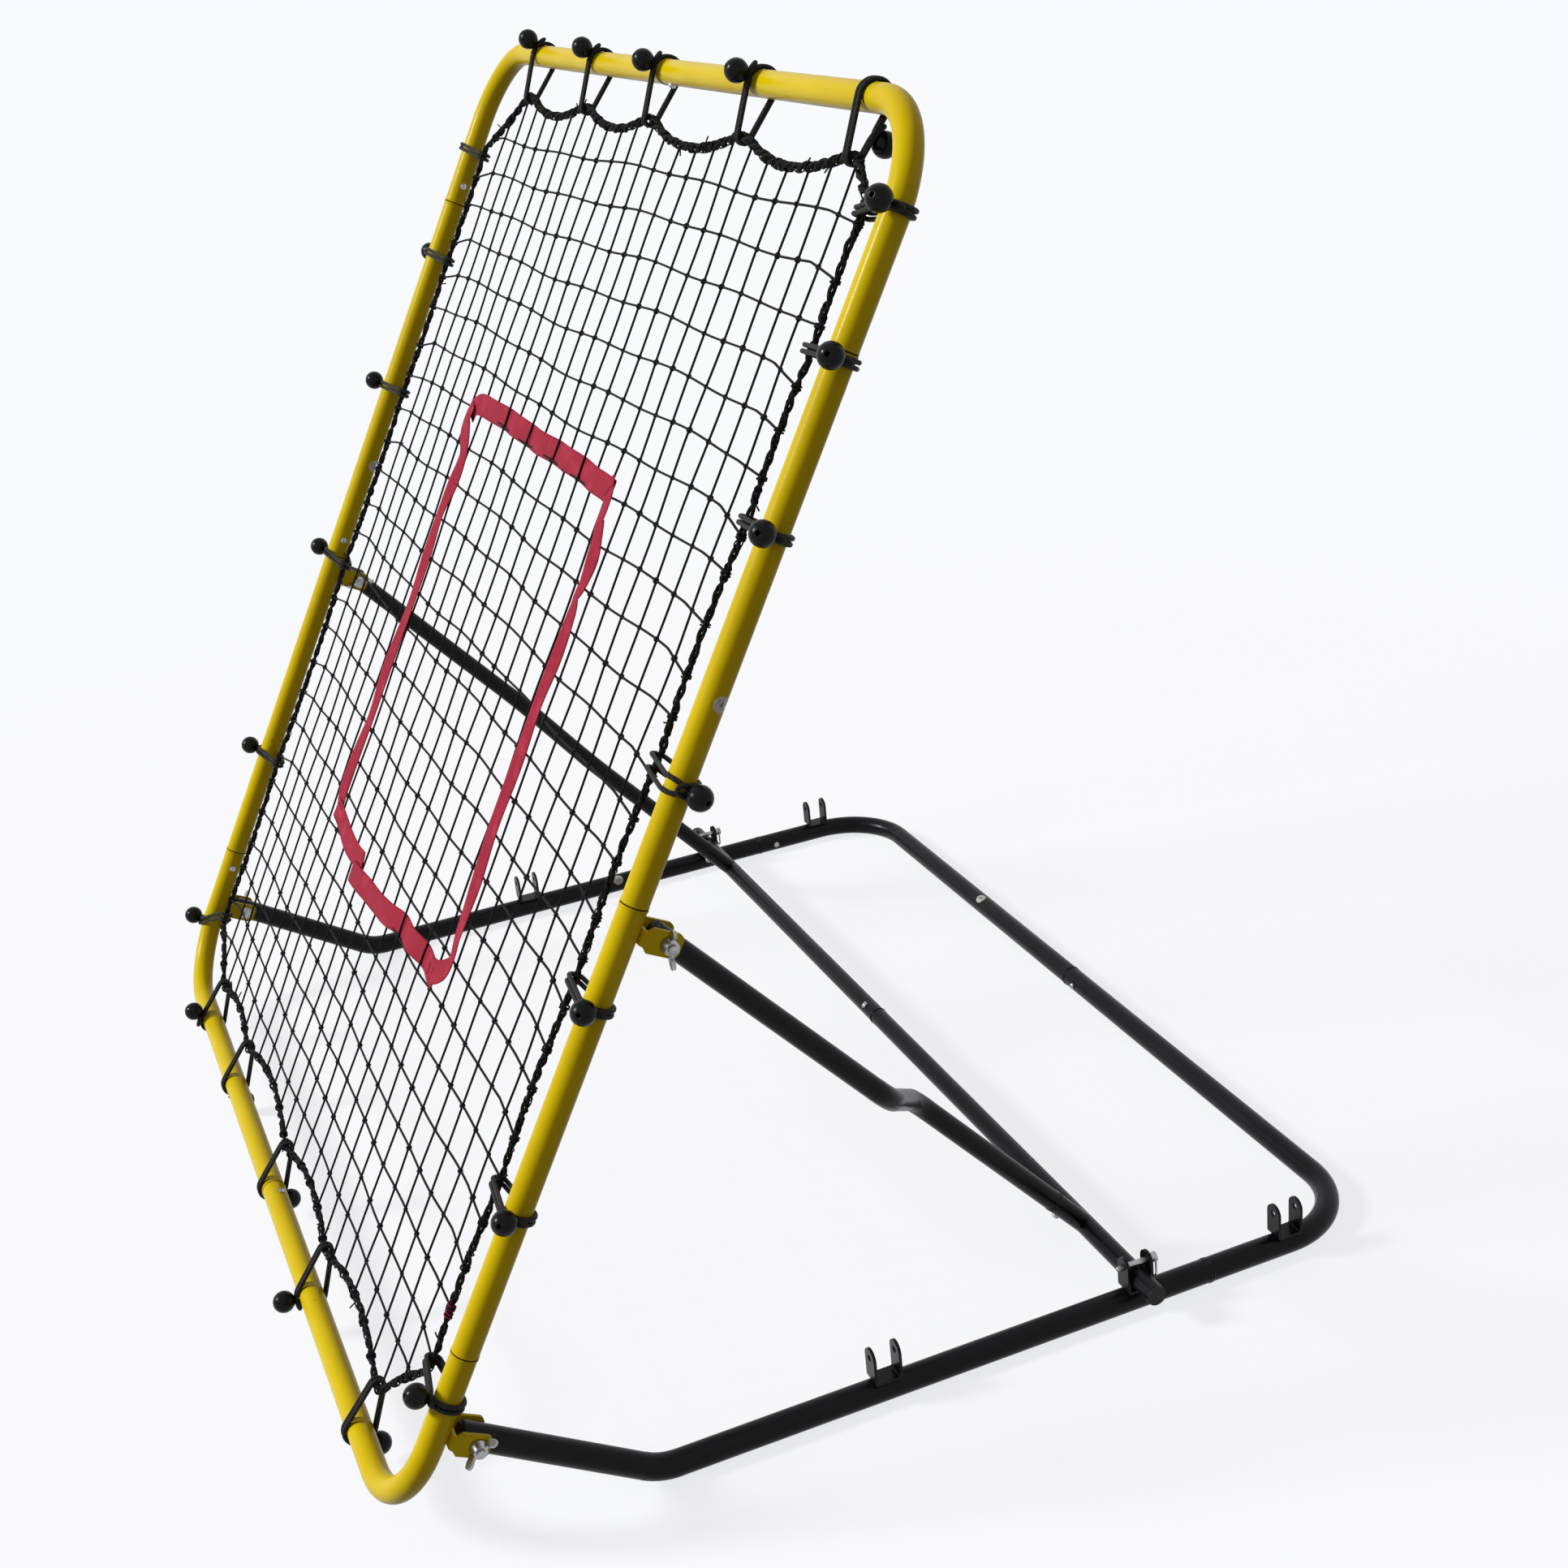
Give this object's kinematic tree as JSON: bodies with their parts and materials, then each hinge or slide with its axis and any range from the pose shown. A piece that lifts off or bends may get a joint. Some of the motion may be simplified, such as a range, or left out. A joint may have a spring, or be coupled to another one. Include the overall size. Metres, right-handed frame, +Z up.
{
  "type": "pitch back rebounder",
  "caption": "Folding tubular rebounder with a net hung on ball bungees, a marked target and a pinned tilt stay.",
  "frame": {"origin": "middle of the ground footprint, on the ground", "axes": "+Z up, +X to the right seen from the pitching side, +Y from the net towards the back of the ground frame"},
  "size_m": [1.279, 1.069, 1.1983],
  "materials": {
    "yellow_paint": "glossy powder coat",
    "black_paint": "glossy powder coat",
    "black_plastic": "matt moulded",
    "zinc": "bright zinc plate",
    "net_cord": "knotted twine",
    "rope": "braided cord",
    "webbing": "woven webbing",
    "ball_rubber": "smooth moulded",
    "bungee_cord": "braided elastic"
  },
  "bodies": {
    "base": {"base_rear_left": "black_paint", "base_rear_right": "black_paint", "base_front_left": "black_paint", "base_front_right": "black_paint", "clevis_rear_left": "black_paint", "clevis_rear_right": "black_paint", "clevis_middle_left": "black_paint", "clevis_middle_right": "black_paint", "clevis_front_left": "black_paint", "clevis_front_right": "black_paint", "stub_plugs": "black_plastic"},
    "net_frame": {"frame_top_left": "yellow_paint", "frame_top_right": "yellow_paint", "frame_upper_left": "yellow_paint", "frame_upper_right": "yellow_paint", "frame_lower_left": "yellow_paint", "frame_lower_right": "yellow_paint", "frame_bottom_left": "yellow_paint", "frame_bottom_right": "yellow_paint", "bracket_lower_left": "yellow_paint", "bracket_lower_right": "yellow_paint", "bracket_upper_left": "yellow_paint", "bracket_upper_right": "yellow_paint", "bolts_lower": "zinc", "bolts_upper": "zinc", "net": "net_cord", "border_rope": "rope", "strike_zone": "webbing", "bungee_balls": "ball_rubber", "bungee_cords_top": "bungee_cord", "bungee_cords_bottom": "bungee_cord", "bungee_cords_left": "bungee_cord", "bungee_cords_right": "bungee_cord"},
    "stay": {"stay_arm_left": "black_paint", "stay_arm_right": "black_paint", "cross_bar_left": "black_paint", "cross_bar_right": "black_paint", "stay_plugs": "black_plastic"},
    "wing_nut_lower_left": {"wing_nut_lower_left": "zinc"},
    "wing_nut_lower_right": {"wing_nut_lower_right": "zinc"},
    "wing_nut_upper_left": {"wing_nut_upper_left": "zinc"},
    "wing_nut_upper_right": {"wing_nut_upper_right": "zinc"},
    "lock_pin_left": {"lock_pin_left": "zinc"},
    "lock_pin_right": {"lock_pin_right": "zinc"},
    "pin_bail_left": {"pin_bail_left": "zinc"},
    "pin_bail_right": {"pin_bail_right": "zinc"},
    "button_base_left": {"button_base_left": "zinc"},
    "button_base_right": {"button_base_right": "zinc"},
    "button_base_rear": {"button_base_rear": "zinc"},
    "button_frame_top": {"button_frame_top": "zinc"},
    "button_frame_bottom": {"button_frame_bottom": "zinc"},
    "button_high_left": {"button_high_left": "zinc"},
    "button_high_right": {"button_high_right": "zinc"},
    "button_mid_left": {"button_mid_left": "zinc"},
    "button_mid_right": {"button_mid_right": "zinc"},
    "button_low_left": {"button_low_left": "zinc"},
    "button_low_right": {"button_low_right": "zinc"},
    "button_stay_left": {"button_stay_left": "zinc"},
    "button_stay_right": {"button_stay_right": "zinc"},
    "button_cross_bar": {"button_cross_bar": "zinc"}
  },
  "joints": [
    {"name": "frame_fold", "type": "hinge", "parent": "base", "child": "net_frame", "pos_m": [0, -0.41512, 0.11819], "axis": [1, 0, 0], "range_deg": [-61.58, 0]},
    {"name": "stay_fold", "type": "hinge", "parent": "net_frame", "child": "stay", "pos_m": [0, -0.18665, 0.54033], "axis": [1, 0, 0], "range_deg": [0, 109.14]},
    {"name": "wing_nut_lower_left_turn", "type": "hinge", "parent": "net_frame", "child": "wing_nut_lower_left", "pos_m": [-0.6206, -0.41512, 0.11819], "axis": [1, 0, 0], "continuous": true},
    {"name": "wing_nut_lower_right_turn", "type": "hinge", "parent": "net_frame", "child": "wing_nut_lower_right", "pos_m": [0.6206, -0.41512, 0.11819], "axis": [1, 0, 0], "continuous": true},
    {"name": "wing_nut_upper_left_turn", "type": "hinge", "parent": "net_frame", "child": "wing_nut_upper_left", "pos_m": [-0.5814, -0.18665, 0.54033], "axis": [1, 0, 0], "continuous": true},
    {"name": "wing_nut_upper_right_turn", "type": "hinge", "parent": "net_frame", "child": "wing_nut_upper_right", "pos_m": [0.6186, -0.18665, 0.54033], "axis": [1, 0, 0], "continuous": true},
    {"name": "lock_pin_left_pull", "type": "slide", "parent": "base", "child": "lock_pin_left", "axis": [0, 1, 0], "range_m": [0, 0.045]},
    {"name": "pin_bail_left_swing", "type": "hinge", "parent": "lock_pin_left", "child": "pin_bail_left", "pos_m": [-0.6, 0.26908, 0.0518], "axis": [1, 0, 0], "range_deg": [-5, 170]},
    {"name": "lock_pin_right_pull", "type": "slide", "parent": "base", "child": "lock_pin_right", "axis": [0, 1, 0], "range_m": [0, 0.045]},
    {"name": "pin_bail_right_swing", "type": "hinge", "parent": "lock_pin_right", "child": "pin_bail_right", "pos_m": [0.6, 0.26908, 0.0518], "axis": [1, 0, 0], "range_deg": [-5, 170]},
    {"name": "button_base_right_press", "type": "slide", "parent": "base", "child": "button_base_right", "axis": [1, 0, 0], "range_m": [0, 0.003], "stiffness_N_per_m": 600, "springref_m": -0.002},
    {"name": "button_base_left_press", "type": "slide", "parent": "base", "child": "button_base_left", "axis": [-1, 0, 0], "range_m": [0, 0.003], "stiffness_N_per_m": 600, "springref_m": -0.002},
    {"name": "button_base_rear_press", "type": "slide", "parent": "base", "child": "button_base_rear", "axis": [0, 1, 0], "range_m": [0, 0.003], "stiffness_N_per_m": 600, "springref_m": -0.002},
    {"name": "button_frame_top_press", "type": "slide", "parent": "net_frame", "child": "button_frame_top", "axis": [0, 0.476, 0.8795], "range_m": [0, 0.003], "stiffness_N_per_m": 600, "springref_m": -0.002},
    {"name": "button_frame_bottom_press", "type": "slide", "parent": "net_frame", "child": "button_frame_bottom", "axis": [0, -0.476, -0.8795], "range_m": [0, 0.003], "stiffness_N_per_m": 600, "springref_m": -0.002},
    {"name": "button_high_right_press", "type": "slide", "parent": "net_frame", "child": "button_high_right", "axis": [1, 0, 0], "range_m": [0, 0.003], "stiffness_N_per_m": 600, "springref_m": -0.002},
    {"name": "button_high_left_press", "type": "slide", "parent": "net_frame", "child": "button_high_left", "axis": [-1, 0, 0], "range_m": [0, 0.003], "stiffness_N_per_m": 600, "springref_m": -0.002},
    {"name": "button_mid_right_press", "type": "slide", "parent": "net_frame", "child": "button_mid_right", "axis": [1, 0, 0], "range_m": [0, 0.003], "stiffness_N_per_m": 600, "springref_m": -0.002},
    {"name": "button_mid_left_press", "type": "slide", "parent": "net_frame", "child": "button_mid_left", "axis": [-1, 0, 0], "range_m": [0, 0.003], "stiffness_N_per_m": 600, "springref_m": -0.002},
    {"name": "button_low_right_press", "type": "slide", "parent": "net_frame", "child": "button_low_right", "axis": [1, 0, 0], "range_m": [0, 0.003], "stiffness_N_per_m": 600, "springref_m": -0.002},
    {"name": "button_low_left_press", "type": "slide", "parent": "net_frame", "child": "button_low_left", "axis": [-1, 0, 0], "range_m": [0, 0.003], "stiffness_N_per_m": 600, "springref_m": -0.002},
    {"name": "button_stay_right_press", "type": "slide", "parent": "stay", "child": "button_stay_right", "axis": [0, 0.7549, 0.6559], "range_m": [0, 0.003], "stiffness_N_per_m": 600, "springref_m": -0.002},
    {"name": "button_stay_left_press", "type": "slide", "parent": "stay", "child": "button_stay_left", "axis": [0, 0.7549, 0.6559], "range_m": [0, 0.003], "stiffness_N_per_m": 600, "springref_m": -0.002},
    {"name": "button_cross_bar_press", "type": "slide", "parent": "stay", "child": "button_cross_bar", "axis": [0, 0.7071, -0.7071], "range_m": [0, 0.003], "stiffness_N_per_m": 600, "springref_m": -0.002}
  ],
  "couplings": [
    {"joint": "stay_fold", "follows": "frame_fold", "ratio": -1.7716}
  ]
}
